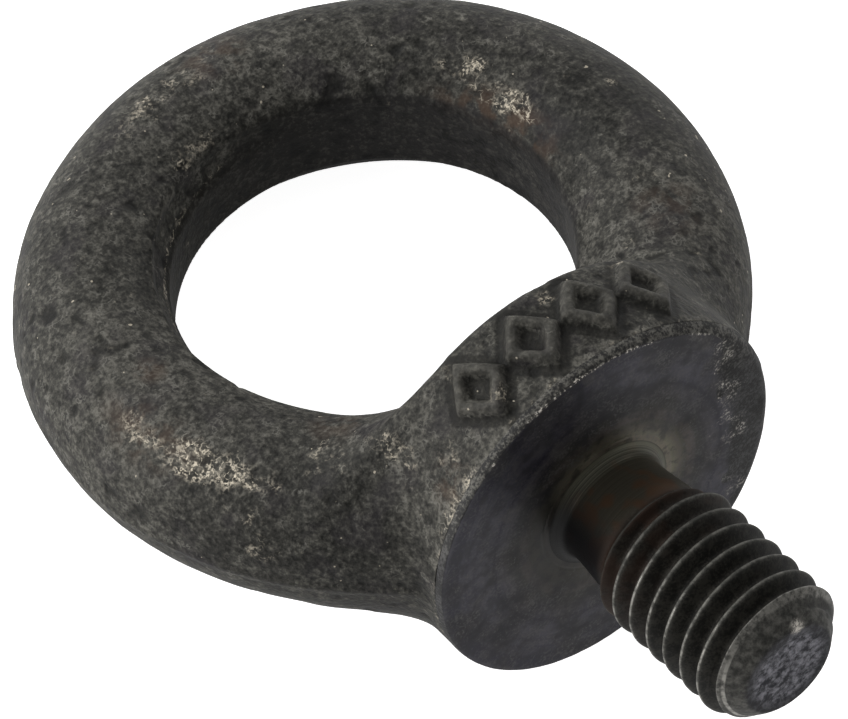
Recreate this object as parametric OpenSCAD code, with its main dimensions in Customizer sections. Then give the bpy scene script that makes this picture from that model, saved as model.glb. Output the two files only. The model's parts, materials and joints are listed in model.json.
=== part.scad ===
// Lifting eye bolt with a male metric thread, forged in one piece from carbon steel.
//
// Frame: the origin is the centre of the flat under the collar, on the thread axis.
// +Z runs from the thread up through the eye, and the eye lies in the XZ plane.
// The bolt is a single forging, so each module is one named region of that piece of
// steel. The regions meet face to face and never overlap.

/* [Thread] */
// Diameter over the thread crests
crest_d = 7.8; // [7.6:0.05:8]
// Distance from one turn of the thread to the next
pitch = 1.25; // [1:0.05:1.3]
// Length of the shank below the collar
shank_l = 13.5; // [12:0.5:18]
// Distance from the collar to the first full-size land
relief_l = 3.5; // [3:0.1:4]
// Diameter of the undercut between the collar and the thread
relief_d = 6; // [5.6:0.1:6.2]
// Angle of the thread's start round the shank
thread_turn = -90; // [-180:90:180]
// Radius of the fillet from the undercut to the flat
relief_fillet = 0.8; // [0.5:0.1:1]
// Length of each full-round land at the two ends of the thread
land_l = 0.3; // [0.2:0.05:0.5]
// Height of the 45 degree chamfer on the point
point_chamfer = 1.3; // [0.5:0.05:1.4]
// Height of the low crown on the end of the point
crown_h = 0.05; // [0.05:0.01:0.3]

/* [Collar] */
// Diameter of the forged collar
collar_d = 20; // [19:0.5:22]
// Height of the collar from the flat to its upper face
collar_h = 6; // [5.5:0.25:6.5]
// Radius of the rounded upper edge of the collar
collar_round = 1; // [0.5:0.1:1.2]
// Diameter of the machined flat under the collar
flat_d = 19.4; // [18:0.1:19.4]
// Depth of the machined disc that carries the flat
flat_t = 0.5; // [0.3:0.05:0.6]

/* [Eye] */
// Diameter of the hole through the eye
eye_d = 20; // [19:0.5:21]
// How far the punched hole's centre lies above the centre of the forged ring
hole_lift = 0.35; // [0:0.05:0.4]
// Diameter of the round bar that the eye is forged from
bar_d = 8.6; // [8.4:0.1:9]
// Diameter over the outside of the eye
eye_outer_d = 36.2; // [35.8:0.1:36.6]
// Angle from the top of the eye at which the thicker arms begin
arm_start = 100; // [90:5:110]
// Diameter of the bar in the two arms
arm_bar_d = 9; // [8.8:0.1:9.2]
// How far the arms' own centre is moved across the eye, which spreads them outward
arm_shift = 2.2; // [2:0.1:2.5]

/* [Blends] */
// Radius of the fillet between the arms and the collar
root_r = 4; // [3:0.5:4]
// Slope of the flared sides of the eye above the collar, as a rise per length
flare = 0.6; // [0.4:0.05:0.8]

/* [Forging details] */
// Number of raised pads on the side of the collar
pad_count = 4; // [2:1:4]
// Angle between neighbouring pads
pad_step = 19; // [18:1:20]
// Angle of the middle of the row of pads, from the plane of the eye
pad_middle = 92; // [85:1:95]
// Height that the pads stand proud of the collar
pad_proud = 0.35; // [0.2:0.05:0.5]
// Width of the trimmed flash line round the outside of the eye
flash_w = 0.7; // [0.5:0.1:1]
// Height of the flash line
flash_h = 0.15; // [0.1:0.05:0.25]

/* [Hidden] */

$fn = 96;
big = 60;

eye_r = eye_d / 2;
bar_r = bar_d / 2;
eye_z = 18;                                  // height of the eye's centre above the flat
core_r = eye_outer_d / 2 - bar_r;            // radius of the bar's centre line
land_half = sqrt(bar_r * bar_r - pow(core_r - eye_r, 2));  // half width of the punched land

crest_r = crest_d / 2;
thread_depth = 0.6134 * pitch;
root_flank_r = crest_r - thread_depth;
neck_r = relief_d / 2;
fillet_outer_r = neck_r + relief_fillet;
thread_top = -relief_l - land_l;
thread_bottom = -shank_l + point_chamfer + crown_h + land_l;
point_r = crest_r - point_chamfer;

forged_grey = [0.22, 0.22, 0.21];
machined_grey = [0.27, 0.27, 0.30];
thread_grey = [0.30, 0.30, 0.29];

// Stands a shape drawn in the XY plane up in the plane of the eye, about the eye's centre.
module about_eye() {
    translate([0, 0, eye_z]) rotate([90, 0, 0]) children();
}

// The same about the centre of the punched hole.
module about_hole() {
    translate([0, 0, hole_lift]) about_eye() children();
}

// Bends its child's section, drawn about the bar's centre, round the eye. Both angles are
// measured from the top of the eye towards +X.
module bend_round_eye(from_angle, to_angle) {
    about_eye() rotate([0, 0, 90 - to_angle])
        rotate_extrude(angle = to_angle - from_angle)
            translate([core_r, 0]) children();
}

// The same for an arm, on a wider circle that leaves the eye's own at arm_start.
module bend_along_arm(side, sweep) {
    mirror([side < 0 ? 1 : 0, 0, 0]) about_eye() rotate([0, 0, 90 - arm_start])
        translate([-arm_shift, 0, 0]) rotate([0, 0, -sweep])
            rotate_extrude(angle = sweep)
                translate([core_r + arm_shift, 0]) children();
}

// Everything inside the punched hole of the eye.
module eye_hole() {
    about_hole() cylinder(r = eye_r, h = big, center = true);
}

// The hole with its sides flared outward beyond the punched land.
module flared_hole() {
    eye_hole();
    flare_l = collar_d;
    about_hole() for (side = [0, 1]) mirror([0, 0, side])
        translate([0, 0, land_half])
            cylinder(r1 = eye_r, r2 = eye_r + flare * flare_l, h = flare_l);
}

// The collar above the machined disc, with its upper edge rounded.
module collar_body() {
    collar_r = collar_d / 2;
    rotate_extrude() difference() {
        translate([0, flat_t]) square([collar_r, collar_h - flat_t]);
        translate([collar_r - collar_round, collar_h - collar_round]) difference() {
            square(2 * collar_round);
            circle(r = collar_round);
        }
    }
}

// One whole arm of bar, carried on past the plane where it meets the other arm.
module arm_bar(side) {
    bend_along_arm(side, 180 - arm_start) circle(d = arm_bar_d);
}

// The part of an arm that shows: outside the collar and on its own side of the eye.
module arm_body(side) {
    difference() {
        arm_bar(side);
        eye_hole();
        translate([0, 0, -big + flat_t]) cylinder(d = big, h = big);
        translate([0, 0, flat_t]) cylinder(d = collar_d, h = collar_h - flat_t);
        translate([side < 0 ? 0 : -big, -big / 2, -big / 2]) cube(big);
    }
}

module eye_ring() {
    color(forged_grey) difference() {
        bend_round_eye(-arm_start, arm_start) circle(r = bar_r);
        eye_hole();
    }
}

module left_arm() { color(forged_grey) arm_body(1); }

module right_arm() { color(forged_grey) arm_body(-1); }

// The saddle below the eye, with a fillet from the collar's upper face up each flank.
module throat() {
    foot_r = collar_d / 2 - collar_round;
    color(forged_grey) difference() {
        intersection() {
            translate([0, 0, collar_h]) rotate([90, 0, 90])
                linear_extrude(height = collar_d, center = true) difference() {
                    translate([-foot_r, 0]) square([2 * foot_r, root_r]);
                    for (side = [-1, 1]) translate([side * foot_r, root_r]) circle(r = root_r);
                }
            cylinder(r = foot_r, h = big);
        }
        flared_hole();
        for (side = [-1, 1]) arm_bar(side);
    }
}

module collar() { color(forged_grey) collar_body(); }

// The disc faced off square to the thread, on which the bolt bears when it is tight. Its
// hole narrows upward round the root of the neck.
module machined_flat() {
    rim = (collar_d - flat_d) / 2;
    color(machined_grey) rotate_extrude() polygon([
        [fillet_outer_r, 0], [flat_d / 2, 0], [flat_d / 2 + rim * 0.8, flat_t],
        [neck_r, flat_t]]);
}

// The undercut below the flat, filleted into it, up to the first full-round land.
module relief_neck() {
    step = crest_r - neck_r;
    color(machined_grey) rotate_extrude() difference() {
        union() {
            translate([0, -relief_fillet]) square([fillet_outer_r, relief_fillet]);
            polygon([[0, 0], [fillet_outer_r, 0], [neck_r, flat_t], [0, flat_t]]);
            translate([0, -relief_l]) square([neck_r, relief_l]);
            polygon([[0, thread_top], [crest_r, thread_top], [crest_r, -relief_l],
                [neck_r, -relief_l + step], [0, -relief_l + step]]);
        }
        translate([fillet_outer_r, -relief_fillet]) circle(r = relief_fillet);
    }
}

// One turn follows another up a right-hand helix. The ridge's flanks meet at 60 degrees
// and are carried a little way into the core.
module helical_ridge(z_low, z_high) {
    steps = 36;
    turns = ceil((z_high - z_low) / pitch) + 2;
    count = turns * steps;
    inset = 0.15;
    crest_half = pitch / 16;
    base_half = crest_half + (thread_depth + inset) * tan(30);
    profile = [[root_flank_r - inset, -base_half], [crest_r, -crest_half],
        [crest_r, crest_half], [root_flank_r - inset, base_half]];
    corners = len(profile);
    points = [for (i = [0:count]) let (a = 360 * i / steps, z = z_low - pitch + pitch * i / steps)
        for (p = profile) [p[0] * cos(a), p[0] * sin(a), z + p[1]]];
    sides = [for (i = [0:count - 1]) for (k = [0:corners - 1])
        let (a = i * corners + k, b = i * corners + (k + 1) % corners)
            for (f = [[a, b, b + corners], [a, b + corners, a + corners]]) f];
    caps = [[for (k = [corners - 1:-1:0]) k], [for (k = [0:corners - 1]) count * corners + k]];
    polyhedron(points = points, faces = concat(sides, caps), convexity = 10);
}

module threaded_shank() {
    length = thread_top - thread_bottom;
    color(thread_grey) translate([0, 0, thread_bottom]) {
        cylinder(r = root_flank_r, h = length);
        intersection() {
            rotate([0, 0, thread_turn]) helical_ridge(0, length);
            cylinder(r = crest_d, h = length);
        }
    }
}

// The plain end that finds the tapped hole: a short land, a wide chamfer and a low crown.
module lead_point() {
    crown_r = (point_r * point_r + crown_h * crown_h) / (2 * crown_h);
    chamfer_z = -shank_l + crown_h;
    color(thread_grey) rotate_extrude() {
        polygon([[0, chamfer_z], [point_r, chamfer_z], [crest_r, chamfer_z + point_chamfer],
            [crest_r, thread_bottom], [0, thread_bottom]]);
        intersection() {
            translate([0, -shank_l + crown_r]) circle(r = crown_r, $fn = 360);
            translate([0, -shank_l]) square([point_r, crown_h]);
        }
    }
}

// A row of plain raised lozenges on the side of the collar, where a forging carries its
// die marks. Each is cut from a thin shell round the collar, so its face is curved too.
module forging_pads() {
    collar_r = collar_d / 2;
    pad_w = 2.6;
    pad_h = 3.2;
    pad_z = 3.1;
    color(forged_grey) intersection() {
        rotate_extrude() translate([collar_r, flat_t])
            square([pad_proud, collar_h - flat_t]);
        for (i = [0:pad_count - 1])
            rotate([0, 0, pad_middle + (i - (pad_count - 1) / 2) * pad_step])
                translate([0, 0, pad_z]) rotate([90, 0, 90])
                    linear_extrude(height = 2 * collar_r)
                        polygon([[-pad_w / 2, 0], [0, -pad_h / 2], [pad_w / 2, 0], [0, pad_h / 2]]);
    }
}

// The low ridge left where the flash was trimmed, at the joint of the two dies.
module flash_line() {
    arm_sweep = 60;
    module ridge(section_r) {
        difference() {
            translate([section_r - flash_h, -flash_w / 2]) square([2 * flash_h, flash_w]);
            circle(r = section_r);
        }
    }
    color(forged_grey) difference() {
        union() {
            bend_round_eye(-arm_start, arm_start) ridge(bar_r);
            for (side = [-1, 1]) bend_along_arm(side, arm_sweep) ridge(arm_bar_d / 2);
        }
        translate([0, 0, flat_t]) cylinder(d = collar_d, h = collar_h);
        translate([0, 0, -big + flat_t]) cylinder(d = big, h = big);
    }
}

eye_ring();
left_arm();
right_arm();
throat();
collar();
machined_flat();
relief_neck();
threaded_shank();
lead_point();
forging_pads();
flash_line();
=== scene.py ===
import json
import math

import bmesh
import bpy
import numpy as np
from mathutils import Matrix, Vector


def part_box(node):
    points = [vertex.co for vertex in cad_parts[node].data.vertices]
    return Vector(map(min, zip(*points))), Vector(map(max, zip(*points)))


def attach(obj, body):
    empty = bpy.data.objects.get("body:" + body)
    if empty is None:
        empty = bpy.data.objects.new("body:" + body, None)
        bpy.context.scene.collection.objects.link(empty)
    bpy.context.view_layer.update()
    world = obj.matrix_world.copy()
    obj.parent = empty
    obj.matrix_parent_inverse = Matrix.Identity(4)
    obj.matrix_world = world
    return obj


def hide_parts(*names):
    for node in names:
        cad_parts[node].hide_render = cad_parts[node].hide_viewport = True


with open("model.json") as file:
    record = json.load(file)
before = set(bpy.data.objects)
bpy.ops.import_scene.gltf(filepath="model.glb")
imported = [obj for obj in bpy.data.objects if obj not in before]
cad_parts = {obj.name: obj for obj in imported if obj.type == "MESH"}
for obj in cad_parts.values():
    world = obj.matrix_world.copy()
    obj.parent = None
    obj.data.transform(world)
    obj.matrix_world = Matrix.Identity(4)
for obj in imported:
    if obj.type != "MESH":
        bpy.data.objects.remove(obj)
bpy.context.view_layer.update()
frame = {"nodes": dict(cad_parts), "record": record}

MM = 0.001


# ---------------------------------------------------------------- sizes, in millimetres
def box_mm(node):
    low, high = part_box(node)
    return np.array(low) / MM, np.array(high) / MM


ring_low, ring_high = box_mm("eye_ring")
collar_low, collar_high = box_mm("collar")
thread_low, thread_high = box_mm("threaded_shank")
point_low = box_mm("lead_point")[0]
pads_low, pads_high = box_mm("forging_pads")
mounts = {m["name"]: m for m in frame["record"]["mounts"]}

EYE_OUTER_R = (ring_high[0] - ring_low[0]) / 2
BAR_R = (ring_high[1] - ring_low[1]) / 2
EYE_Z = ring_high[2] - EYE_OUTER_R
CORE_R = EYE_OUTER_R - BAR_R
HOLE_R = mounts["eye"]["dims"]["r_mm"]
HOLE_Z = mounts["eye"]["pos_m"][2] / MM
PUNCH_EXIT_Y = -1.7             # the punched land ends here, and a bevel runs outward beyond
PUNCH_BEVEL = 2.2               # largest width of that bevel
ARM_START = 100.0               # degrees from the top of the eye where the arms begin
ARM_R = (4.5, 4.3)              # the bar's radius in the arm on the +X side and on the -X side
ARM_SHIFT = (2.2, 1.0)          # how far each arm's own centre is moved across the eye
SLIM = 0.11                     # how much thinner the upper eye is on its +X side
FLASH_Y = -0.25                 # the trimmed flash: its place, half-width and height
FLASH_HALF_W = 0.28
FLASH_HEIGHT = 0.13

COLLAR_R = (collar_high[0] - collar_low[0]) / 2
COLLAR_TOP = collar_high[2]
DISC_TOP = collar_low[2]        # the machined disc lies below this height
UPPER_ROUND = 0.8               # radius of the collar's upper edge
LOWER_ROUND = (0.6, 1.0)        # radius of the forged edge below, on the -X side and elsewhere
TILT = 0.04                     # slope of the forging's underside against the facing cut
TILT_START = -7.4               # x where the underside rises out of the facing cut
CUT_ABOVE = 0.45                # height above the collar where the forging is cut into pieces

PAD_Z = (pads_low[2] + pads_high[2]) / 2
PAD_ANGLES = [math.radians(92 + 19 * (i - 1.5)) for i in range(4)]
PAD_HALF_W = 1.62
PAD_HALF_H = 2.05
PAD_HEIGHT = 0.60
PAD_POWER = 1.08                # 1 is a lozenge with straight sides, more rounds it

CREST_R = mounts["thread"]["dims"]["r_mm"]
PITCH = 1.25
ROOT_R = CREST_R - 0.6134 * PITCH
RIDGE_R = CREST_R + 0.02        # radius of the crests before wear
CREST_HALF_W = PITCH / 16       # half the width of a crest's flat
FLANK = math.radians(30)        # slope of the thread's flanks
START_R = 2.8                   # the ridge begins at this radius, inside the undercut
CREST_ANGLE = 154.7             # degrees round the shank where one crest has the height below
CREST_HEIGHT = -5.95
CREST_Z = CREST_HEIGHT - PITCH * CREST_ANGLE / 360
NECK_R = 3.0
FILLET_R = 0.6
FACE_R = 2.6                    # radius of the flat end of the point
CAP_R = 0.6                     # radius of the caps where the shank's pieces meet
THREAD_TOP = thread_high[2]
THREAD_END = thread_low[2]
TIP_Z = point_low[2]


# ---------------------------------------------------------------- seeded noise
def hashed(ix, iy, iz, seed):
    """A repeatable number from -1 to 1 for each corner of the lattice."""
    h = ix.astype(np.uint32) * np.uint32(374761393)
    h ^= iy.astype(np.uint32) * np.uint32(668265263)
    h ^= iz.astype(np.uint32) * np.uint32(2246822519)
    h += np.uint32(seed * 977 + 13)
    h ^= h >> np.uint32(15)
    h *= np.uint32(2246822519)
    h ^= h >> np.uint32(13)
    h *= np.uint32(3266489917)
    h ^= h >> np.uint32(16)
    return h.astype(np.float64) / 2147483647.5 - 1.0


def noise(p, wavelength, seed):
    """Smooth value noise from -1 to 1 at points p."""
    q = p / wavelength + 101.37
    base = np.floor(q).astype(np.int64)
    f = q - base
    f = f * f * f * (f * (6 * f - 15) + 10)
    total = 0.0
    for dx in (0, 1):
        for dy in (0, 1):
            for dz in (0, 1):
                weight = ((f[:, 0] if dx else 1 - f[:, 0]) * (f[:, 1] if dy else 1 - f[:, 1])
                          * (f[:, 2] if dz else 1 - f[:, 2]))
                total = total + weight * hashed(base[:, 0] + dx, base[:, 1] + dy,
                                                base[:, 2] + dz, seed)
    return total


def layered(p, wavelength, octaves, seed):
    """Noise of several wavelengths, each half as long and 0.55 as strong as the last."""
    total, gain, norm = 0.0, 1.0, 0.0
    for i in range(octaves):
        total = total + gain * noise(p, wavelength / 2 ** i, seed + i)
        norm += gain
        gain *= 0.55
    return total / norm


def step(low, high, x):
    """0 below low, 1 above high and smooth between."""
    t = np.clip((x - low) / (high - low), 0, 1)
    return t * t * (3 - 2 * t)


def blend_min(a, b, k):
    """The nearer of two distances, with a fillet of about k where they meet."""
    h = np.clip(k - np.abs(a - b), 0, None) / k
    return np.minimum(a, b) - h * h * k / 4


def blend_max(a, b, k):
    return -blend_min(-a, -b, k)


# ---------------------------------------------------------------- the forging's own shape
def underside(x):
    """Height of the forging's rough underside, before the facing cut at zero."""
    return -TILT * (x - TILT_START)


def lower_round(x):
    low, high = LOWER_ROUND
    return low + (high - low) * step(-9.0, -3.0, x)


def collar_side(x):
    """The collar's own radius, a little larger on the side where the facing cut ran out."""
    return COLLAR_R + 0.10 + 0.12 * step(0.0, -8.0, x)


def pad_height(angle, z, margin=0.0):
    """How far the row of lozenge pads stands proud of the collar's side. With a margin, solid
    lozenges that are larger by that much."""
    height = 0.0
    for middle in PAD_ANGLES:
        turn = (angle - middle + math.pi) % (2 * math.pi) - math.pi
        across = np.abs(turn) * COLLAR_R / PAD_HALF_W
        along = np.abs(z - PAD_Z) / PAD_HALF_H
        outline = (across ** PAD_POWER + along ** PAD_POWER) ** (1 / PAD_POWER)
        inward = (1 - outline) * PAD_HALF_W * PAD_HALF_H / math.hypot(PAD_HALF_W, PAD_HALF_H)
        rise = step(-0.16, 0.30, inward + margin)
        dish = 0.90 * step(0.46, 0.90, inward) * (margin == 0)
        height = np.maximum(height, PAD_HEIGHT * (rise - dish))
    return height


def collar_distance(x, y, z):
    r = np.hypot(x, y) - pad_height(np.arctan2(y, x), z) * (y > 0)
    below = lower_round(x)
    low_z = underside(x) + below - z
    high_z = z - (COLLAR_TOP + 0.1 - UPPER_ROUND)

    def rounded(across, up, radius):
        outer = np.hypot(np.maximum(across, 0), np.maximum(up, 0))
        return outer + np.minimum(np.maximum(across, up), 0) - radius

    side = collar_side(x)
    lower = rounded(r - (side - below), low_z, below)
    upper = rounded(r - (side - UPPER_ROUND), high_z, UPPER_ROUND)
    return np.maximum(lower, upper)


def bar_distance(x, y, z):
    up = z - EYE_Z
    rho = np.hypot(x, up)
    turn = np.degrees(np.arctan2(np.abs(x), up))
    past = np.radians(np.clip(turn - ARM_START, 0, None))
    shift = np.where(x > 0, *ARM_SHIFT)
    core = -shift * np.cos(past) + np.sqrt((CORE_R + shift) ** 2 - (shift * np.sin(past)) ** 2)
    core = np.where(turn <= ARM_START, CORE_R, core)
    thick = np.where(x > 0, *ARM_R)
    slim = SLIM * step(-3.0, 6.0, x) * step(ARM_START, ARM_START - 35, turn)
    section = BAR_R + (thick - BAR_R) * step(ARM_START - 15, ARM_START + 25, turn) - slim
    arms = np.hypot(rho - core, y) - section
    ring = np.hypot(rho - CORE_R, y) - BAR_R + slim
    flash = FLASH_HEIGHT * np.exp(-(((y - FLASH_Y) / FLASH_HALF_W) ** 2))
    flash = flash * step(0.5, 0.9, (rho - core) / section)
    return blend_min(arms - flash, ring, 0.6)


def forging_distance(p):
    x, y, z = p[..., 0], p[..., 1], p[..., 2]
    fillet = 1.1 + 1.8 * step(1.5, 5.0, z) + 1.8 * step(4.5, 6.5, z) * step(0.0, 5.0, x)
    body = blend_min(bar_distance(x, y, z), collar_distance(x, y, z), fillet)
    bevel = blend_min(np.maximum(PUNCH_EXIT_Y - y, 0), PUNCH_BEVEL, 0.9)
    mouth = 0.45 * np.clip(y - 1.2, 0, 1.4) * step(-6.0, 8.0, x)
    hole = HOLE_R + 0.04 + bevel + mouth - np.hypot(x, z - HOLE_Z)
    return blend_max(body, hole, 0.20)


def gradient(field, p, h=0.02):
    g = np.empty_like(p)
    for axis in range(3):
        d = np.zeros(3)
        d[axis] = h
        g[:, axis] = (field(p + d) - field(p - d)) / (2 * h)
    return g


def land_share(p):
    """1 on the punched land inside the eye, 0 elsewhere."""
    rho = np.hypot(p[:, 0], p[:, 2] - HOLE_Z)
    return step(0.35, 0.12, rho - HOLE_R - np.clip(PUNCH_EXIT_Y - p[:, 1], 0, PUNCH_BEVEL))


def waves(p):
    return 0.055 * layered(p, 5.0, 2, 11)


def forged_relief(p):
    """Outward texture of the forged skin: waves, orange peel, scale flakes and pits."""
    peel = 0.018 * layered(p, 1.1, 2, 23)
    worn_area = step(-0.25, 0.45, noise(p, 4.2, 31))
    pits = -0.060 * step(0.38, 0.75, noise(p, 0.62, 41)) * (0.2 + 0.8 * worn_area)
    flakes = 0.026 * step(0.15, 0.5, layered(p, 1.5, 3, 53)) * step(-0.1, 0.4, noise(p, 3.1, 59))
    on_pads = step(0.00, 0.05, pad_height(np.arctan2(p[:, 1], p[:, 0]), p[:, 2])) * (p[:, 1] > 4)
    return waves(p) + (peel + pits + flakes) * (1 - 0.55 * on_pads)


# ---------------------------------------------------------------- meshing
def surface_nets(field, low, high, cell):
    """A quad mesh of the zero surface of field inside the box from low to high."""
    counts = np.ceil((high - low) / cell).astype(int) + 1
    axes = [low[i] + cell * np.arange(counts[i]) for i in range(3)]
    value = np.empty(tuple(counts), np.float32)
    yy, zz = np.meshgrid(axes[1], axes[2], indexing="ij")
    slab = np.empty(yy.shape + (3,))
    slab[..., 1], slab[..., 2] = yy, zz
    for i, x in enumerate(axes[0]):
        slab[..., 0] = x
        value[i] = field(slab)
    inside = value < 0
    corner_sum = np.zeros(tuple(counts - 1), np.int8)
    corners = [(i, j, k) for i in (0, 1) for j in (0, 1) for k in (0, 1)]
    n = counts - 1
    for i, j, k in corners:
        corner_sum += inside[i:i + n[0], j:j + n[1], k:k + n[2]]
    cells = np.argwhere((corner_sum > 0) & (corner_sum < 8))
    total = np.zeros((len(cells), 3))
    hits = np.zeros(len(cells))
    for axis in range(3):
        others = [a for a in range(3) if a != axis]
        for u in (0, 1):
            for v in (0, 1):
                start = np.zeros(3, int)
                start[others[0]], start[others[1]] = u, v
                end = start.copy()
                end[axis] = 1
                a = value[tuple((cells + start).T)]
                b = value[tuple((cells + end).T)]
                cross = (a < 0) != (b < 0)
                t = np.where(cross, a / np.where(cross, a - b, 1), 0)
                point = start[None, :] + t[:, None] * (end - start)[None, :]
                total += np.where(cross[:, None], point, 0)
                hits += cross
    points = low + cell * (cells + total / hits[:, None])
    index = np.full(tuple(n), -1, np.int64)
    index[tuple(cells.T)] = np.arange(len(cells))
    quads = []
    for axis in range(3):
        o1, o2 = [(1, 2), (2, 0), (0, 1)][axis]
        shape = [slice(None)] * 3
        shape2 = [slice(None)] * 3
        shape[axis], shape2[axis] = slice(0, -1), slice(1, None)
        first, second = inside[tuple(shape)], inside[tuple(shape2)]
        edges = np.argwhere(first != second)
        keep = (edges[:, o1] > 0) & (edges[:, o2] > 0)
        keep &= (edges[:, o1] < n[o1]) & (edges[:, o2] < n[o2])
        edges = edges[keep]
        out = first[tuple(edges.T)]
        d1, d2 = np.zeros(3, int), np.zeros(3, int)
        d1[o1], d2[o2] = 1, 1
        ring = [index[tuple((edges - s).T)] for s in (d1 + d2, d2, np.zeros(3, int), d1)]
        quad = np.stack(ring, 1)
        quads.append(np.where(out[:, None], quad, quad[:, ::-1]))
    return points, np.concatenate(quads)


def vertex_normals(points, quads):
    a, b, c, d = (points[quads[:, i]] for i in range(4))
    face = np.cross(c - a, d - b)
    normal = np.zeros_like(points)
    for i in range(4):
        np.add.at(normal, quads[:, i], face)
    return normal / np.maximum(np.linalg.norm(normal, axis=1), 1e-12)[:, None]


def add_values(mesh, values):
    """Stores each named array as one number per vertex, for the materials."""
    for name, data in values.items():
        layer = mesh.attributes.new(name, "FLOAT", "POINT")
        layer.data.foreach_set("value", np.asarray(data, np.float32))


def mesh_of(name, points, faces, values):
    mesh = bpy.data.meshes.new(name)
    mesh.from_pydata((points * MM).tolist(), [], faces)
    add_values(mesh, values)
    mesh.update()
    return mesh


def piece(name, mesh, material, nodes):
    mesh.materials.append(material)
    obj = bpy.data.objects.new(name, mesh)
    bpy.context.scene.collection.objects.link(obj)
    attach(obj, "root")
    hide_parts(*nodes)


def cut_out(whole, name, planes):
    """The closed part of the bmesh on the inner side of every plane, as a new mesh."""
    bm = whole.copy()
    cap = bm.faces.layers.int.new("cap")
    for where, outward in planes:
        geom = list(bm.verts) + list(bm.edges) + list(bm.faces)
        bmesh.ops.bisect_plane(bm, geom=geom, dist=1e-8, plane_co=where, plane_no=outward,
                               clear_outer=True)
        rim = [e for e in bm.edges if e.is_boundary]
        made = bmesh.ops.holes_fill(bm, edges=rim, sides=0)
        for f in made["faces"]:
            f[cap] = 1
    bmesh.ops.recalc_face_normals(bm, faces=list(bm.faces))
    nx, ny, nz = (bm.verts.layers.float[k] for k in ("nx", "ny", "nz"))
    normals = []
    for f in bm.faces:
        flat = tuple(f.normal)
        for loop in f.loops:
            v = loop.vert
            normals.append(flat if f[cap] else (v[nx], v[ny], v[nz]))
    mesh = bpy.data.meshes.new(name)
    bm.to_mesh(mesh)
    bm.free()
    mesh.shade_smooth()
    mesh.normals_split_custom_set(normals)
    return mesh


# ---------------------------------------------------------------- where the skin is rubbed, dusty, stained or given painted shade
def ring_place(p):
    """Angle from the top of the eye towards +X, and angle round the bar from its outer side
    towards +Y, both in degrees."""
    up = p[:, 2] - EYE_Z
    rho = np.hypot(p[:, 0], up)
    return (np.degrees(np.arctan2(p[:, 0], up)),
            np.degrees(np.arctan2(p[:, 1], rho - CORE_R)))


def collar_place(p):
    """Degrees round the collar from +X towards +Y, and height in millimetres."""
    return np.degrees(np.arctan2(p[:, 1], p[:, 0])), p[:, 2]


# Soft oval patches of wear, dust, brown stain and painted shade, in round numbers. Each gives
# its middle and its half-lengths in the two coordinates of ring_place or collar_place, and how
# strongly it shows.
EYE_PATCHES = {
    "scuffed": [
        (110, 60, 25, 20, 0.75), (120, 45, 10, 20, 0.45), (125, 20, 5, 15, 0.35),
        (-60, 115, 12, 15, 0.60), (-75, 125, 15, 15, 0.70), (-110, 125, 3, 8, 0.40),
        (-90, 75, 2, 6, 0.50), (-115, 95, 6, 20, 0.20), (-135, 105, 3, 8, 0.35),
        (10, 80, 20, 20, 0.40), (15, 125, 15, 15, 0.45), (135, 80, 8, 25, 0.35),
    ],
    "dusty": [
        (85, 50, 30, 135, 1.0), (60, 75, 25, 100, 0.2), (105, 65, 20, 70, 0.8),
        (140, 90, 12, 50, 0.5), (-125, 70, 20, 90, 0.9), (10, 80, 20, 70, 0.5),
    ],
    # Painted shade: these patches darken the skin where less light falls on it.
    "painted_shade": [
        (-45, 75, 30, 120, 1.4), (135, 25, 20, 100, 2.0), (10, 55, 20, 90, 0.7),
        (-90, 95, 25, 90, 2.4), (130, 50, 15, 65, 2.0), (50, 95, 25, 90, 1.0),
        (-80, 115, 30, 95, 0.8), (120, 15, 20, 85, 0.8),
    ],
    "brown": [
        (-75, 140, 30, 25, 1.0), (100, 60, 15, 25, 0.6), (90, 95, 5, 15, 0.6),
        (135, 110, 10, 30, 0.4), (-125, 80, 10, 35, 0.4), (-5, 75, 10, 30, 0.5),
    ],
}
COLLAR_PATCHES = {
    "scuffed": [
        (35, 5, 6, 2.5, 0.40), (45, 2.5, 7, 1.5, 0.30), (35, 0.5, 15, 1.5, 0.35),
        (65, 2, 5, 1.0, 0.50), (95, 5, 5, 1.0, 0.50), (120, 5, 4, 0.5, 0.40),
    ],
    "dusty": [(40, 2, 30, 5, 0.8)],
    # Painted shade: these patches darken the collar's skin where less light falls on it.
    "painted_shade": [(95, 3, 35, 6.5, 1.0), (0, 2, 35, 6, 1.6)],
    "brown": [(40, 1.5, 10, 1.5, 0.7)],
}


def covered(p, kind):
    """How strongly the patches of one kind show at points p."""
    most = np.zeros(len(p))
    for place, patches in ((ring_place(p), EYE_PATCHES), (collar_place(p), COLLAR_PATCHES)):
        for first, second, half_first, half_second, strength in patches[kind]:
            away = np.hypot((place[0] - first) / half_first, (place[1] - second) / half_second)
            most = np.maximum(most, strength * step(1.0, 0.25, away))
    return most


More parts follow.
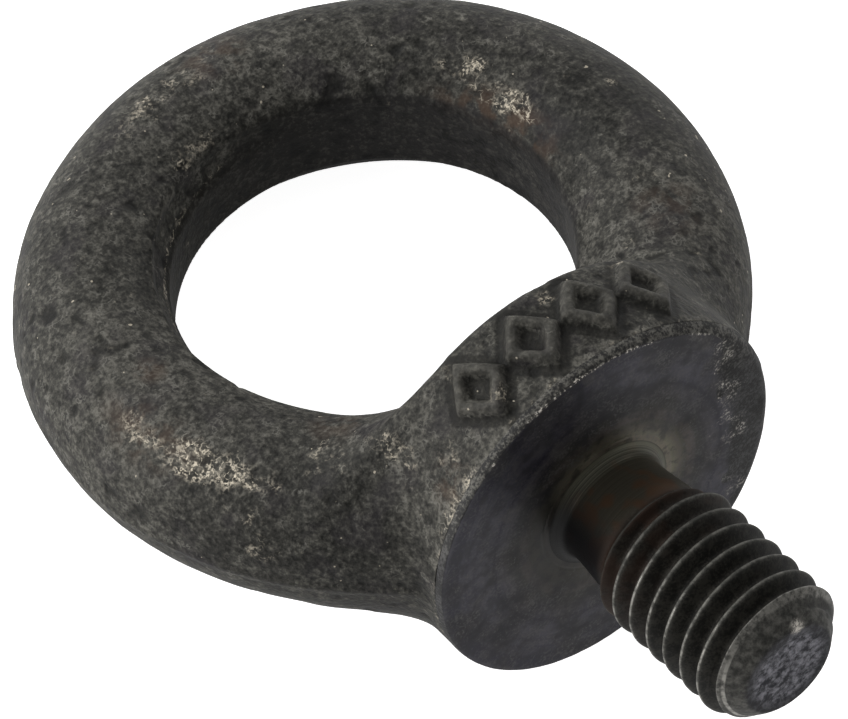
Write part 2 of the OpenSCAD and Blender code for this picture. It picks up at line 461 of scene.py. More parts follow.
def skin_values(p, relief):
    """What the forged skin's material needs to know at points p."""
    land = land_share(p)
    flank = land * (1 - land)
    angle = np.arctan2(p[:, 1], p[:, 0])
    r = np.hypot(p[:, 0], p[:, 1])
    low_edge = np.exp(-((np.clip(p[:, 2] - 0.4, 0, None) / 0.5) ** 2)) * step(8.6, 9.4, r)
    low_edge *= p[:, 2] < 3
    height = pad_height(angle, p[:, 2]) / PAD_HEIGHT
    near = pad_height(angle, p[:, 2], 0.45) / PAD_HEIGHT * (p[:, 1] > 4)
    # Painted light and shade round the pads: +1 on the pad tops, painted lighter as a highlight,
    # and -1 in their dished middles and on the skin round them, painted darker as shade.
    raised = (2 * step(0.10, 0.80, height) - 1) * step(0.0, 0.5, near)
    # Bare metal along the land's upper edge on the +X side: partly wear and partly a painted
    # highlight where that edge catches the light.
    lit_edge = flank * (p[:, 1] > 0) * step(-1, 6, p[:, 0]) * step(17, 22, p[:, 2])
    edges = 2.2 * lit_edge + 0.22 * low_edge
    ragged = 0.45 + 0.55 * step(-0.45, 0.25, layered(p, 1.4, 3, 97))
    return {
        "rub": np.clip(covered(p, "scuffed") * ragged + edges, 0, 1),
        "brown": covered(p, "brown"),
        # Dust lightens the skin. The painted-shade patches are taken away from it, which paints
        # shade.
        "dust_and_shade": covered(p, "dusty") - covered(p, "painted_shade") + 2.2 * low_edge,
        "raised": raised,
        "land": land,
        "pit": step(0.0, -0.05, relief - waves(p)),
    }


# ---------------------------------------------------------------- materials
def make_node(tree, kind, inputs=None, **settings):
    made = tree.nodes.new(kind)
    for key, value in settings.items():
        setattr(made, key, value)
    for key, value in (inputs or {}).items():
        if isinstance(value, bpy.types.NodeSocket):
            tree.links.new(value, made.inputs[key])
        else:
            made.inputs[key].default_value = value
    return made


class Tree:
    """Short calls for the shader nodes that the materials use."""

    def __init__(self, name):
        self.material = bpy.data.materials.new(name)
        self.material.use_nodes = True
        self.tree = self.material.node_tree
        self.tree.nodes.clear()
        self.place = self.add("ShaderNodeTexCoord").outputs["Object"]

    def add(self, kind, inputs=None, **settings):
        return make_node(self.tree, kind, inputs, **settings)

    def value(self, name):
        return self.add("ShaderNodeAttribute", attribute_name=name).outputs["Fac"]

    def noise(self, wavelength, detail=2.0, roughness=0.55, offset=0.0, where=None):
        """Noise from about 0.2 to 0.8. The wavelength is in millimetres, the offset in metres."""
        if where is None:
            where = self.place
        if offset:
            where = self.add("ShaderNodeMapping", {
                "Vector": where, "Location": (offset, offset * 0.7, -offset)}).outputs[0]
        return self.add("ShaderNodeTexNoise", {
            "Vector": where, "Scale": 1 / (wavelength * MM), "Detail": detail,
            "Roughness": roughness}).outputs[0]

    def maths(self, operation, a, b=0.0):
        return self.add("ShaderNodeMath", {0: a, 1: b}, operation=operation).outputs[0]

    def ramp(self, value, low, high, to_low=0.0, to_high=1.0):
        """Maps low..high to to_low..to_high smoothly."""
        return self.add("ShaderNodeMapRange", {
            "Value": value, "From Min": low, "From Max": high, "To Min": to_low,
            "To Max": to_high}, interpolation_type="SMOOTHSTEP").outputs[0]

    def mix(self, share, a, b):
        """Mixes two colours."""
        made = self.add("ShaderNodeMix", data_type="RGBA")
        for key, value in ((0, share), (6, a), (7, b)):
            if isinstance(value, bpy.types.NodeSocket):
                self.tree.links.new(value, made.inputs[key])
            elif key == 0:
                made.inputs[key].default_value = value
            else:
                made.inputs[key].default_value = (*value, 1)
        return made.outputs[2]

    def distance(self, centre):
        """Distance from a point given in millimetres, in metres."""
        return self.add("ShaderNodeVectorMath", {
            0: self.place, 1: tuple(c * MM for c in centre)}, operation="DISTANCE").outputs["Value"]

    def bump(self, height, strength, distance_mm, normal=None):
        inputs = {"Height": height, "Strength": strength, "Distance": distance_mm * MM}
        if normal is not None:
            inputs["Normal"] = normal
        return self.add("ShaderNodeBump", inputs).outputs[0]

    def finish(self, **inputs):
        surface = self.add("ShaderNodeBsdfPrincipled", {
            key.replace("_", " "): value for key, value in inputs.items()})
        out = self.add("ShaderNodeOutputMaterial")
        self.tree.links.new(surface.outputs[0], out.inputs["Surface"])
        return self.material


def forged_scale():
    """Dark mill scale: a fine grey mottle over charcoal with thin pale worm-like marks, pits,
    brown stains, and bare bright marks where the skin is rubbed. Painted shade darkens some
    patches and the skin round the pads, painted highlights lighten the pad tops, and the bare
    line along the land's upper edge is partly a painted highlight."""
    t = Tree("forged_scale")
    grain = t.noise(0.17, 3.0, 0.65)
    speck = t.noise(0.32, 2.0, 0.6, 0.031)
    mottle = t.noise(0.9, 3.0, 0.6, 0.017)
    cloud = t.noise(3.6, 3.0, 0.6, 0.043)
    curl = t.maths("ABSOLUTE", t.maths("SUBTRACT", t.noise(0.50, 2.0, 0.55, 0.051), 0.5))
    rub, brown, dusty, land, pit = (t.value(k) for k in ("rub", "brown", "dust_and_shade", "land", "pit"))
    away = t.maths("SUBTRACT", 1.0, land)

    level = t.maths("ADD", t.maths("MULTIPLY", grain, 0.29), t.maths("MULTIPLY", speck, 0.38))
    level = t.maths("ADD", level, t.maths("MULTIPLY", mottle, 0.19))
    level = t.maths("ADD", level, t.maths("MULTIPLY", cloud, 0.14))
    # dusty carries both dust and painted shade: the painted-shade patches lower the level here.
    level = t.maths("ADD", level, t.maths("MULTIPLY", dusty, 0.020))
    dust_and_shade = t.ramp(level, 0.435, 0.680)
    colour = t.mix(dust_and_shade, (0.0225, 0.0218, 0.0190), (0.118, 0.113, 0.098))
    deep = t.ramp(level, 0.37, 0.465, 1.0, 0.0)
    colour = t.mix(deep, colour, (0.0085, 0.0083, 0.0072))
    tint = t.ramp(t.noise(2.2, 2.0, 0.5, 0.087), 0.52, 0.70, 0.0, 0.35)
    colour = t.mix(tint, colour, (0.020, 0.017, 0.021))
    lines = t.ramp(curl, 0.010, 0.045, 1.0, 0.0)
    where = t.maths("ADD", mottle, t.maths("MULTIPLY", dusty, 0.035))
    faint = t.maths("MULTIPLY", lines, t.ramp(where, 0.48, 0.64, 0.0, 0.50))
    faint = t.maths("MULTIPLY", faint, away)
    colour = t.mix(faint, colour, (0.150, 0.145, 0.128))
    raised = t.value("raised")
    # Painted highlight on the pad tops, painted shade in their dished middles and round them.
    colour = t.mix(t.ramp(raised, 0.0, 1.0, 0.0, 0.25), colour, (0.085, 0.081, 0.070))
    colour = t.mix(t.ramp(raised, 0.0, -1.0, 0.0, 0.72), colour, (0.0075, 0.0072, 0.0062))
    colour = t.mix(t.maths("MULTIPLY", pit, 0.7), colour, (0.005, 0.005, 0.0045))
    stain = t.maths("MULTIPLY", t.ramp(t.noise(1.1, 3.0, 0.6, 0.071), 0.40, 0.60), brown)
    colour = t.mix(t.maths("MULTIPLY", stain, 0.65), colour, (0.060, 0.036, 0.023))

    along = t.add("ShaderNodeSeparateXYZ", {0: t.place}).outputs[0]
    hollow = t.mix(t.ramp(along, -9 * MM, 6 * MM), (0.0160, 0.0152, 0.0150),
                   (0.0085, 0.0078, 0.0055))
    hollow = t.mix(t.ramp(level, 0.48, 0.60, 0.0, 0.85), hollow, (0.046, 0.044, 0.040))
    hollow = t.mix(t.ramp(mottle, 0.48, 0.34, 0.0, 0.8), hollow, (0.004, 0.004, 0.004))
    colour = t.mix(t.maths("MULTIPLY", land, 0.88), colour, hollow)

    streak = t.maths("ABSOLUTE", t.maths("SUBTRACT", t.noise(0.85, 3.0, 0.6, 0.067), 0.5))
    wide = t.maths("MAXIMUM", t.ramp(streak, 0.012, 0.055, 0.85, 0.0),
                   t.ramp(curl, 0.008, 0.035, 0.75, 0.0))
    patchy = t.maths("ADD", t.maths("MULTIPLY", t.noise(0.8, 2.0, 0.6, 0.093), 1.3), rub)
    broken = t.ramp(grain, 0.42, 0.56, 0.12, 1.0)
    bare = t.maths("MULTIPLY", t.maths("MULTIPLY", wide, broken), t.ramp(patchy, 0.84, 1.40))
    pale = t.ramp(t.maths("ADD", speck, t.maths("MULTIPLY", rub, 0.13)), 0.58, 0.76)
    bare = t.maths("MAXIMUM", bare, t.maths("MULTIPLY", pale, t.ramp(rub, 0.03, 0.8, 0.0, 0.22)))
    stray = t.ramp(t.noise(0.42, 1.0, 0.5, 0.113), 0.775, 0.80, 0.0, 0.55)
    bare = t.maths("MAXIMUM", bare, t.maths("MULTIPLY", stray, away))
    colour = t.mix(bare, colour, (0.52, 0.465, 0.37))
    roughness = t.ramp(level, 0.42, 0.60, 0.58, 0.78)
    roughness = t.maths("SUBTRACT", roughness, t.maths("MULTIPLY", bare, 0.25))

    fine = t.bump(grain, 0.35, 0.030)
    coarse = t.bump(t.maths("ADD", speck, mottle), 0.75, 0.075, fine)
    return t.finish(Base_Color=colour, Metallic=t.maths("MULTIPLY", bare, 0.5),
                    Roughness=roughness, Specular_IOR_Level=0.12, Normal=coarse)


# Along this direction the materials paint shade on the neck and in the flat's corner, and paint the
# crests' highlights brighter.
SHADOW_SIDE = (0.95, -0.30)     # direction of the bolt's darker side, across the thread's axis


def round_axis(t):
    """The x, y and z of the surface, and its distance from the thread's axis, in metres."""
    place = t.add("ShaderNodeSeparateXYZ", {0: t.place}).outputs
    return place, t.maths("SQRT", t.maths("ADD", t.maths("POWER", place[0], 2.0),
                                          t.maths("POWER", place[1], 2.0)))


def shadow_side(t, place, radius, low):
    """0 where the direction from the axis is far from SHADOW_SIDE, 1 along it."""
    toward = t.maths("ADD", t.maths("MULTIPLY", place[0], SHADOW_SIDE[0]),
                     t.maths("MULTIPLY", place[1], SHADOW_SIDE[1]))
    return t.ramp(t.maths("DIVIDE", toward, radius), low, 0.85)


def turned_face():
    """The faced underside: dark blued steel with concentric tool marks, olive to brown near the
    undercut, near-black painted shade in its corner by the undercut towards SHADOW_SIDE, and rough
    forged skin where the cut did not reach."""
    t = Tree("turned_face")
    place, radius = round_axis(t)
    rings = t.add("ShaderNodeCombineXYZ", {0: radius, 1: place[2]}).outputs[0]
    feed = t.noise(0.11, 3.0, 0.7, where=rings)
    broad = t.noise(0.9, 2.0, 0.5, where=rings)
    forged, fillet, rub = (t.value(k) for k in ("forged", "fillet", "rub"))
    grain = t.noise(0.16, 3.0, 0.65)
    mottle = t.noise(0.8, 3.0, 0.6, 0.017)
    cloud = t.noise(3.0, 3.0, 0.6, 0.029)

    colour = t.mix(t.ramp(broad, 0.40, 0.58), (0.012, 0.011, 0.021), (0.036, 0.034, 0.045))
    inner = t.ramp(radius, 7.2 * MM, 4.4 * MM)
    colour = t.mix(inner, colour, t.mix(t.ramp(broad, 0.42, 0.56), (0.026, 0.025, 0.015),
                                        (0.056, 0.045, 0.036)))
    colour = t.mix(t.ramp(cloud, 0.42, 0.62, 0.0, 0.5), colour, (0.026, 0.024, 0.020))
    colour = t.mix(t.ramp(feed, 0.55, 0.72, 0.0, 0.5), colour, (0.050, 0.048, 0.050))
    blotch = t.noise(1.7, 3.0, 0.6, 0.121)
    colour = t.mix(t.ramp(blotch, 0.52, 0.36, 0.0, 0.6), colour, (0.011, 0.011, 0.015))
    colour = t.mix(t.ramp(blotch, 0.55, 0.70, 0.0, 0.5), colour, (0.052, 0.048, 0.046))
    olive = t.mix(t.ramp(broad, 0.40, 0.60), (0.190, 0.180, 0.126), (0.130, 0.100, 0.082))
    colour = t.mix(t.maths("MULTIPLY", fillet, t.ramp(cloud, 0.35, 0.60, 0.45, 1.0)), colour, olive)
    level = t.maths("ADD", t.maths("MULTIPLY", grain, 0.6), t.maths("MULTIPLY", mottle, 0.4))
    colour = t.mix(t.ramp(level, 0.47, 0.66, 0.0, 0.55), colour, (0.066, 0.063, 0.062))
    colour = t.mix(t.ramp(mottle, 0.50, 0.34, 0.0, 0.60), colour, (0.012, 0.012, 0.014))
    # Painted shade: near-black in the corner by the undercut towards SHADOW_SIDE, fading out by 6.4
    # mm from the axis.
    corner = t.maths("MULTIPLY", shadow_side(t, place, radius, 0.05),
                     t.ramp(radius, 6.4 * MM, 3.9 * MM, 0.0, 0.85))
    colour = t.mix(corner, colour, (0.004, 0.004, 0.005))
    upper = t.ramp(place[1], 2 * MM, 7 * MM)
    skin = t.mix(upper, (0.048, 0.047, 0.048), (0.115, 0.110, 0.096))
    skin = t.mix(t.ramp(level, 0.44, 0.62), (0.013, 0.0125, 0.012), skin)
    colour = t.mix(forged, colour, skin)
    dusty = t.maths("MULTIPLY", t.ramp(level, 0.52, 0.62), t.ramp(cloud, 0.50, 0.66, 0.0, 0.5))
    colour = t.mix(dusty, colour, (0.080, 0.078, 0.076))
    worn = t.maths("ADD", t.maths("MULTIPLY", mottle, 0.8), rub)
    bare = t.maths("MULTIPLY", t.ramp(worn, 0.64, 1.00), t.ramp(grain, 0.52, 0.63, 0.04, 1.0))
    colour = t.mix(bare, colour, (0.60, 0.56, 0.50))

    metal = t.maths("MULTIPLY", t.maths("SUBTRACT", 1.0, forged), 0.55)
    rough = t.ramp(cloud, 0.4, 0.65, 0.34, 0.46)
    rough = t.maths("ADD", rough, t.maths("MULTIPLY", forged, 0.22))
    smooth = t.bump(feed, 0.28, 0.010)
    uneven = t.bump(t.maths("MULTIPLY", grain, forged), 0.7, 0.05, smooth)
    tangent = t.add("ShaderNodeTangent", direction_type="RADIAL", axis="Z").outputs[0]
    return t.finish(Base_Color=colour, Metallic=metal, Roughness=rough, Anisotropic=0.55,
                    Tangent=tangent, Specular_IOR_Level=0.25, Normal=uneven)


GLINT_ANGLE = math.radians(105)            # a painted glint: a bright spot on the edge of the end face
GLINT_R = 2.65
GLINT = (GLINT_R * math.cos(GLINT_ANGLE), GLINT_R * math.sin(GLINT_ANGLE), TIP_Z)


def thread_steel():
    """The shank: an olive to brown undercut with fine tool marks, near-black thread grooves with
    thin worn crests, a mottled chamfer and a pale bluish end face. Painted shade darkens the
    undercut towards SHADOW_SIDE, the crests carry a painted highlight on that side, and a painted
    glint sits on the end face's edge."""
    t = Tree("thread_steel")
    crest, chamfer, end_face = (t.value(k) for k in ("crest", "chamfer", "end_face"))
    grain = t.noise(0.13, 3.0, 0.65)
    mottle = t.noise(0.6, 3.0, 0.6, 0.017)
    cloud = t.noise(2.0, 2.0, 0.6, 0.037)
    level = t.maths("ADD", t.maths("MULTIPLY", grain, 0.5), t.maths("MULTIPLY", mottle, 0.5))
    place, radius = round_axis(t)
    height = t.maths("MULTIPLY", place[2], 1 / MM)
    side = shadow_side(t, place, radius, 0.0)
    rings = t.add("ShaderNodeCombineXYZ", {2: place[2]}).outputs[0]
    marks = t.noise(0.10, 3.0, 0.7, where=rings)

    neck = t.ramp(height, -3.7, -2.9)
    tone = t.mix(t.ramp(marks, 0.36, 0.64), (0.044, 0.040, 0.030), (0.062, 0.056, 0.043))
    tone = t.mix(t.ramp(cloud, 0.48, 0.60, 0.0, 0.8), tone, (0.075, 0.042, 0.024))
    tone = t.mix(t.ramp(height, -0.9, -0.1, 0.0, 0.8), tone,
                 t.mix(t.ramp(marks, 0.46, 0.58), (0.040, 0.040, 0.031), (0.110, 0.108, 0.080)))
    # Painted shade: the undercut turns near-black towards SHADOW_SIDE.
    tone = t.mix(t.maths("MULTIPLY", side, 0.95), tone, (0.003, 0.003, 0.004))

    flank = t.mix(t.ramp(level, 0.42, 0.60), (0.0085, 0.0083, 0.0072), (0.026, 0.0245, 0.0205))
    brown = t.maths("MULTIPLY", t.ramp(height, -8.0, -3.5, 0.0, 0.9),
                    t.ramp(cloud, 0.42, 0.58, 0.2, 1.0))
    flank = t.mix(t.maths("MULTIPLY", brown, 0.8), flank, (0.034, 0.019, 0.013))
    worn = t.mix(t.ramp(level, 0.42, 0.60), (0.032, 0.032, 0.028), (0.070, 0.068, 0.060))
    colour = t.mix(crest, t.mix(neck, flank, tone), worn)

    fine = t.maths("ADD", t.maths("MULTIPLY", t.noise(0.34, 3.0, 0.7, 0.057), 0.6),
                   t.maths("MULTIPLY", mottle, 0.4))
    bevel = t.mix(t.ramp(fine, 0.36, 0.68), (0.020, 0.020, 0.018), (0.088, 0.085, 0.077))
    colour = t.mix(chamfer, colour, bevel)
    tip = t.mix(t.ramp(fine, 0.39, 0.67), (0.009, 0.009, 0.013), (0.215, 0.212, 0.235))
    tip = t.mix(t.ramp(radius, 1.7 * MM, 2.35 * MM, 0.0, 0.75), tip, (0.014, 0.014, 0.016))
    colour = t.mix(end_face, colour, tip)

    glint = t.maths("MULTIPLY", t.ramp(t.distance(GLINT), 0.55 * MM, 0.10 * MM),
                    t.ramp(grain, 0.40, 0.58, 0.2, 1.0))
    rim = t.maths("MULTIPLY", t.ramp(radius, 3.42 * MM, 3.56 * MM), chamfer)
    spots = t.maths("MULTIPLY", rim, t.ramp(fine, 0.40, 0.60, 0.1, 0.6))
    spots = t.maths("MULTIPLY", spots, t.maths("MAXIMUM", chamfer, end_face))
    # Bare metal on the worn crests, real wear, with a painted highlight: brighter towards
    # SHADOW_SIDE, dim round the far side, and fading out towards the undercut.
    crest_wear_and_highlight = t.maths("MULTIPLY", t.ramp(crest, 0.70, 1.0), t.ramp(mottle, 0.40, 0.62, 0.15, 1.0))
    crest_wear_and_highlight = t.maths("MULTIPLY", crest_wear_and_highlight, t.maths("ADD", 0.10, t.maths("MULTIPLY", side, 0.75)))
    crest_wear_and_highlight = t.maths("MULTIPLY", crest_wear_and_highlight, t.ramp(height, -3.6, -4.8))
    bare = t.maths("MAXIMUM", crest_wear_and_highlight, t.maths("MULTIPLY", spots, 0.7))
    colour = t.mix(bare, colour, (0.29, 0.28, 0.255))
    # Painted glint: a bright spot on the edge of the end face.
    colour = t.mix(glint, colour, (0.62, 0.58, 0.52))
    rough = t.maths("SUBTRACT", 0.58, t.maths("MULTIPLY", bare, 0.28))
    rough = t.maths("SUBTRACT", rough, t.maths("MULTIPLY", neck, 0.16))
    oily = t.maths("MULTIPLY", t.maths("SUBTRACT", 1.0, side), 0.45)
    metal = t.maths("MAXIMUM", bare, t.maths("MULTIPLY", neck, oily))
    grooves = t.bump(t.maths("MULTIPLY", marks, neck), 0.2, 0.010)
    bump = t.bump(level, 0.5, 0.03, grooves)
    return t.finish(Base_Color=colour, Metallic=metal, Roughness=rough,
                    Specular_IOR_Level=0.12, Normal=bump)


# ---------------------------------------------------------------- the forged pieces
def build_forging(material):
    cell = 0.16
    low = np.array([-EYE_OUTER_R, -COLLAR_R, 0.0]) - 1.0
    high = np.array([EYE_OUTER_R, COLLAR_R, EYE_Z + EYE_OUTER_R]) + 1.0
    low[2] = DISC_TOP - 3 * cell
    points, quads = surface_nets(forging_distance, low, high, cell)
    for _ in range(3):
        g = gradient(forging_distance, points)
        size = np.maximum((g * g).sum(1), 0.05)
        move = np.clip(forging_distance(points) / size, -cell, cell)
        points -= move[:, None] * g
    smooth = vertex_normals(points, quads)
    relief = forged_relief(points)
    points = points + smooth * (relief * (1 - 0.7 * land_share(points)))[:, None]
    normal = vertex_normals(points, quads)
    values = skin_values(points, relief)
    values.update(nx=normal[:, 0], ny=normal[:, 1], nz=normal[:, 2])
    mesh = mesh_of("whole_forging", points, quads.tolist(), values)
    whole = bmesh.new()
    whole.from_mesh(mesh)
    bpy.data.meshes.remove(mesh)

    arm_z = (EYE_Z + CORE_R * math.cos(math.radians(ARM_START))) * MM
    top_z, disc_z, half = (COLLAR_TOP + CUT_ABOVE) * MM, DISC_TOP * MM, COLLAR_R / 2 * MM
    up, down, left, right = (0, 0, 1), (0, 0, -1), (1, 0, 0), (-1, 0, 0)
    parts = {
        "forged_eye": ([((0, 0, arm_z), down)], ["eye_ring", "flash_line"]),
        "forged_arm_left": ([((0, 0, arm_z), up), ((0, 0, top_z), down),
                             ((half, 0, 0), right)], ["left_arm"]),
        "forged_arm_right": ([((0, 0, arm_z), up), ((0, 0, top_z), down),
                              ((-half, 0, 0), left)], ["right_arm"]),
        "forged_throat": ([((0, 0, arm_z), up), ((0, 0, top_z), down), ((half, 0, 0), left),
                           ((-half, 0, 0), right)], ["throat"]),
        "forged_collar": ([((0, 0, top_z), up), ((0, 0, disc_z), down)],
                          ["collar", "forging_pads"]),
    }
    for name, (planes, nodes) in parts.items():
        piece(name, cut_out(whole, name, planes), material, nodes)
    whole.free()


# ---------------------------------------------------------------- the turned pieces
def revolved(name, radius, height, values, closed=False):
    """A closed mesh from radius and height grids of (turns, profile points). An open profile
    gets a cap at each end; a closed one runs back to its own start."""
    turns, count = radius.shape
    angle = np.linspace(0, 2 * np.pi, turns, endpoint=False)[:, None]
    points = np.stack([radius * np.cos(angle), radius * np.sin(angle), height], -1)
    this = np.arange(turns)[:, None]
    after = (this + 1) % turns
    k = np.arange(count if closed else count - 1)[None, :]
    k2 = (k + 1) % count
    quads = np.stack([this * count + k, this * count + k2, after * count + k2,
                      after * count + k], -1).reshape(-1, 4)
    points = points.reshape(-1, 3)
    faces = quads.tolist()
    flat = {key: np.asarray(v).reshape(-1) for key, v in values.items()}
    if not closed:
        ends = []
        for col in (0, count - 1):
            ring = (np.arange(turns) * count + col).tolist()
            ends.append(ring if col else ring[::-1])
        faces = faces + [ends[0], ends[1]]
    mesh = mesh_of(name, points, faces, flat)
    bm = bmesh.new()
    bm.from_mesh(mesh)
    bmesh.ops.recalc_face_normals(bm, faces=list(bm.faces))
    bm.to_mesh(mesh)
    bm.free()
    mesh.shade_smooth()
    mesh.set_sharp_from_angle(angle=math.radians(38))
    return mesh


def rim_wear(angle, radius, edge_x, rough, p):
    """Bare metal on the edge of the facing cut and along its ragged end on the -X side."""
    below = lower_round(edge_x)
    cut_edge = collar_side(edge_x) - below * (1 - np.sin(np.arccos(np.clip(
        (underside(edge_x) + below) / below, 0, 1))))
    rim = np.exp(-(((radius - cut_edge) / 0.09) ** 2)) * (underside(edge_x) < 0)
    chipped = step(-0.45, 0.50, layered(p.reshape(-1, 3), 1.3, 3, 131)).reshape(radius.shape)
    rim = rim * (0.10 + 0.85 * step(0.70, 0.95, np.sin(angle + 0.10)) * chipped)
    boundary = np.exp(-(((rough - 0.02) / 0.045) ** 2)) * step(5.0, 6.5, radius)
    return np.maximum(rim, 0.46 * boundary * (0.3 + 0.7 * chipped) * (edge_x < -2))


def turned_flat(material):
    """The disc under the collar: the cut face at zero, the forged skin beyond it, and a wall and
    a back that close the piece."""
    turns = 720
    angle = np.linspace(0, 2 * np.pi, turns, endpoint=False)[:, None]
    inner = NECK_R + FILLET_R
    edge_x = (COLLAR_R - 0.5) * np.cos(angle)
    below = lower_round(edge_x)
    side = collar_side(edge_x)
    straight = inner + (side - below - inner) * np.linspace(0, 1, 90)[None, :]
    end = np.arccos(np.clip((underside(edge_x) + below - DISC_TOP) / below, 0, 1))
    bend = np.linspace(0, 1, 40)[None, 1:] * end
    curve = side - below + below * np.sin(bend)
    radius = np.concatenate([straight, curve], 1)
    rise = np.concatenate([0 * straight, below * (1 - np.cos(bend))], 1)
    p = np.stack([radius * np.cos(angle), radius * np.sin(angle), 0.0 * radius], -1)
    rough = underside(p[..., 0]) + rise - forged_relief(p.reshape(-1, 3)).reshape(radius.shape)
    forged = step(0.0, 0.03, rough)
    tool_line = 0.02 * np.exp(-(((radius - inner - 0.35) / 0.05) ** 2))
    height = np.clip(rough, 0.0, DISC_TOP) + tool_line * (forged < 0.5)
    wall_z = height[:, -1:] + (DISC_TOP - height[:, -1:]) * np.linspace(0, 1, 5)[None, 1:]
    wall_r = radius[:, -1:] + 0 * wall_z
    back_r = np.linspace(0, 1, 4)[None, 1:] * (NECK_R - wall_r[:, -1:]) + wall_r[:, -1:]
    back_z = DISC_TOP + 0 * back_r
    rim = rim_wear(angle, radius, edge_x, rough, p)
    pad = ((0, 0), (0, wall_r.shape[1] + back_r.shape[1]))
    values = {
        "forged": np.pad(forged, pad, constant_values=1.0),
        "rub": np.pad(rim, pad, constant_values=0.0),
        "fillet": np.pad(step(inner + 1.5, inner - 0.1, radius), pad, constant_values=0.0),
    }
    mesh = revolved("turned_flat", np.concatenate([radius, wall_r, back_r], 1),
                    np.concatenate([height, wall_z, back_z], 1), values, closed=True)
    piece("turned_flat", mesh, material, ["machined_flat"])


def past_crest(angle, z):
    """Distance along the axis from the edge of the nearest crest, negative on the crest."""
    turn = (z - CREST_Z) / PITCH - angle / (2 * np.pi)
    return np.abs(turn - np.round(turn)) * PITCH - CREST_HALF_W


def shank_radius(angle, z):
    """Radius of the undercut, the right-hand thread that grows out of it, and the chamfered
    point."""
    ridge = RIDGE_R - past_crest(angle, z) / math.tan(FLANK)
    start = START_R + (RIDGE_R - START_R) * step(-3.0, -4.4, z)
    thread = blend_min(blend_max(ridge, ROOT_R, 0.24), start, 0.12)
    neck = NECK_R + 0.22 * step(-0.8, -3.4, z) - 0.40 * step(-3.5, -4.4, z)
    above = z - TIP_Z
    chamfer = FACE_R + above - 0.07 * np.exp(-np.maximum(above, 0) / 0.07)
    return blend_min(blend_max(thread, neck, 0.15), chamfer, 0.16)


def worn_shank(angle, z):
    """The shank's radius with slight wear, and how much of each point is a crest."""
    body = shank_radius(angle, z)
    share = (body - ROOT_R) / (CREST_R - ROOT_R)
    crest = step(0.13, -0.05, past_crest(angle, z)) * step(-3.3, -3.7, z)
    place = np.stack([body * np.cos(angle), body * np.sin(angle), z + 0 * body], -1)
    wear = layered(place.reshape(-1, 3), 1.1, 2, 71).reshape(body.shape)
    return body + 0.010 * wear * step(0.25, 0.72, share), crest


def shank_angles():
    return np.linspace(0, 2 * np.pi, 288, endpoint=False)[:, None]


def turned_neck(material):
    angle = shank_angles()
    arc = np.linspace(0, math.pi / 2, 24)[None, :]
    fillet_r = NECK_R + FILLET_R * (1 - np.sin(arc)) + 0 * angle
    fillet_z = -FILLET_R * (1 - np.cos(arc)) + 0 * angle
    z = np.linspace(-FILLET_R - 0.04, THREAD_TOP, 76)[None, :]
    body, crest = worn_shank(angle, z)
    edge = 0 * angle
    radius = np.concatenate([edge + CAP_R, edge + NECK_R, fillet_r, body, edge + CAP_R], 1)
    height = np.concatenate([edge + DISC_TOP, edge + DISC_TOP, fillet_z, z + edge,
                             edge + THREAD_TOP], 1)
    before = radius.shape[1] - body.shape[1] - 1
    values = {"crest": np.pad(crest, ((0, 0), (before, 1))), "end_face": 0 * radius,
              "chamfer": 0 * radius}
    mesh = revolved("turned_neck", radius, height, values)
    piece("turned_neck", mesh, material, ["relief_neck"])


def rolled_thread(material):
    rows = 250
    angle = shank_angles()
    z = np.linspace(THREAD_TOP, THREAD_END, rows)[None, :]
    body, crest = worn_shank(angle, z)
    edge = 0 * angle
    radius = np.concatenate([edge + CAP_R, body, edge + CAP_R], 1)
    height = np.concatenate([edge + THREAD_TOP, z + edge, edge + THREAD_END], 1)
    values = {"crest": np.pad(crest, ((0, 0), (1, 1))), "end_face": 0 * radius,
              "chamfer": 0 * radius}
    mesh = revolved("rolled_thread", radius, height, values)
    piece("rolled_thread", mesh, material, ["threaded_shank"])


def thread_point(material):
    angle = shank_angles()
    z = np.linspace(THREAD_END, TIP_Z + 0.005, 56)[None, :]
    body, crest = worn_shank(angle, z)
    chamfer = step(-0.05, 0.10, body - (FACE_R + z - TIP_Z) + 0.12)
    inward = np.linspace(0.03, 0.985, 44)[None, :]
    face_r = body[:, -1:] * (1 - inward)
    face_z = TIP_Z + 0.005 + 0.06 * step(0.0, 0.35, inward) + 0 * face_r
    r = np.concatenate([body, face_r], 1)
    z = np.concatenate([z + 0 * body, face_z], 1)
    p = np.stack([r * np.cos(angle), r * np.sin(angle), z], -1).reshape(-1, 3)
    dent = (0.035 * layered(p, 1.2, 3, 83)).reshape(r.shape)
    on_face = step(FACE_R + 0.15, FACE_R - 0.25, r) * (z < TIP_Z + 0.3)
    inset = step(0.0, 0.5, THREAD_END - z)
    z = np.maximum(z + dent * on_face, TIP_Z)
    r = r + dent * (1 - on_face) * inset * 0.8
    edge = 0 * angle
    radius = np.concatenate([edge + CAP_R, r], 1)
    height = np.concatenate([edge + THREAD_END, z], 1)
    pad = ((0, 0), (1, face_r.shape[1]))
    values = {"crest": np.pad(crest, pad), "chamfer": np.pad(chamfer, pad),
              "end_face": np.pad(on_face, ((0, 0), (1, 0)))}
    mesh = revolved("thread_point", radius, height, values)
    piece("thread_point", mesh, material, ["lead_point"])


# ---------------------------------------------------------------- studio
def soft_box(name, direction, distance, size, power):
    """An area light that faces the bolt from the given direction, in metres and watts."""
    lamp = bpy.data.lights.new(name, "AREA")
    lamp.shape = "RECTANGLE"
    lamp.size, lamp.size_y = size
    lamp.energy = power
    obj = bpy.data.objects.new(name, lamp)
    bpy.context.scene.collection.objects.link(obj)
    middle = Vector((0, 0, 0.012))
    away = Vector(direction).normalized()
    obj.location = middle + away * distance
    obj.rotation_euler = away.to_track_quat("Z", "Y").to_euler()
    obj.visible_camera = False


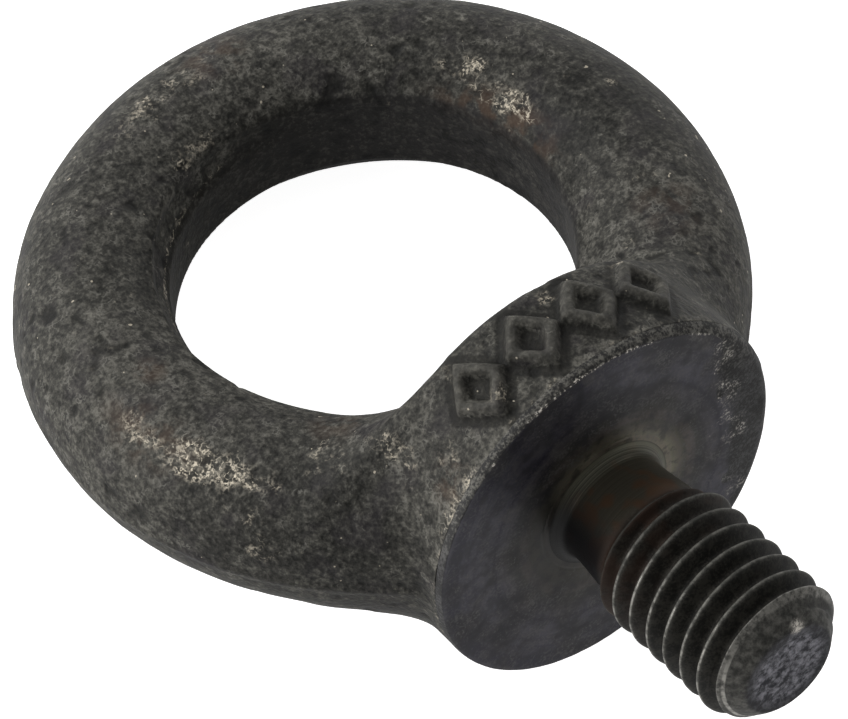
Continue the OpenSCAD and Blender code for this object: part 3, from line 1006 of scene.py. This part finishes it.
def sky():
    """A white backdrop that lights the bolt more weakly than it looks."""
    world = bpy.data.worlds.new("studio")
    bpy.context.scene.world = world
    world.use_nodes = True
    tree = world.node_tree
    tree.nodes.clear()
    seen = make_node(tree, "ShaderNodeLightPath").outputs["Is Camera Ray"]
    strength = make_node(tree, "ShaderNodeMapRange", {"Value": seen, "To Min": 0.38,
                                                      "To Max": 1.0}).outputs[0]
    light = make_node(tree, "ShaderNodeBackground", {"Color": (1, 1, 1, 1), "Strength": strength})
    out = make_node(tree, "ShaderNodeOutputWorld")
    tree.links.new(light.outputs[0], out.inputs["Surface"])


FLOOR_UP = (0.07, 1.0, -0.213)  # the bolt lies on the collar's rim and the back of its eye
FLOOR_HALF = 1.5                # half the floor's width, in metres
FLOOR_GAP = 0.0001              # keeps the floor just clear of the bolt, in metres


def pale_floor():
    """A plane under the lying bolt, seen from above only."""
    normal = Vector(FLOOR_UP).normalized()
    rest = min(normal.dot(v.co) for n in frame["nodes"].values() for v in n.data.vertices)
    mesh = bpy.data.meshes.new("floor")
    half = FLOOR_HALF
    mesh.from_pydata([(-half, -half, 0), (half, -half, 0), (half, half, 0), (-half, half, 0)],
                     [], [(0, 1, 2, 3)])
    floor = bpy.data.objects.new("floor", mesh)
    bpy.context.scene.collection.objects.link(floor)
    floor.rotation_mode = "QUATERNION"
    floor.rotation_quaternion = normal.to_track_quat("Z", "Y")
    floor.location = normal * (rest - FLOOR_GAP)
    t = Tree("pale_floor")
    paint = t.add("ShaderNodeBsdfDiffuse", {"Color": (0.80, 0.80, 0.80, 1)}).outputs[0]
    seen = t.add("ShaderNodeLightPath").outputs["Is Camera Ray"]
    glow = t.add("ShaderNodeEmission", {
        "Color": (1, 1, 1, 1), "Strength": t.ramp(seen, 0.0, 1.0, 0.40, 0.92)}).outputs[0]
    front = t.add("ShaderNodeAddShader", {0: paint, 1: glow}).outputs[0]
    clear = t.add("ShaderNodeBsdfTransparent").outputs[0]
    behind = t.add("ShaderNodeNewGeometry").outputs["Backfacing"]
    both = t.add("ShaderNodeMixShader", {0: behind, 1: front, 2: clear}).outputs[0]
    out = t.add("ShaderNodeOutputMaterial")
    t.tree.links.new(both, out.inputs["Surface"])
    mesh.materials.append(t.material)


def studio():
    bpy.context.scene.view_settings.view_transform = "Standard"
    sky()
    soft_box("key", (0.35, 0.75, 0.70), 0.45, (0.28, 0.28), 1.6)
    soft_box("side", (0.90, 0.35, 0.25), 0.45, (0.25, 0.35), 1.2)
    soft_box("rim", (-0.80, 0.50, 0.25), 0.45, (0.30, 0.35), 0.7)
    pale_floor()


CAMERA_PLACE = (0.12059, 0.25462, -0.17219)     # metres
CAMERA_RIGHT = (-0.78657, -0.07646, -0.61276)
CAMERA_UP = (-0.50536, 0.64996, 0.56760)
CAMERA_LENS = 292.6                             # millimetres, for the sensor below
CAMERA_SENSOR = 36.0


def camera():
    """A long lens below the thread end, looking up at the flat and through the eye."""
    data = bpy.data.cameras.new("camera")
    data.lens = CAMERA_LENS
    data.sensor_width = CAMERA_SENSOR
    data.clip_start, data.clip_end = 0.01, 20.0
    obj = bpy.data.objects.new("camera", data)
    bpy.context.scene.collection.objects.link(obj)
    bpy.context.scene.camera = obj
    right, up = Vector(CAMERA_RIGHT), Vector(CAMERA_UP)
    back = right.cross(up).normalized()
    up = back.cross(right).normalized()
    turn = Matrix((right.normalized(), up, back)).transposed().to_4x4()
    obj.matrix_world = Matrix.Translation(CAMERA_PLACE) @ turn


camera()
studio()
skin = forged_scale()
build_forging(skin)
turned_flat(turned_face())
steel = thread_steel()
turned_neck(steel)
rolled_thread(steel)
thread_point(steel)
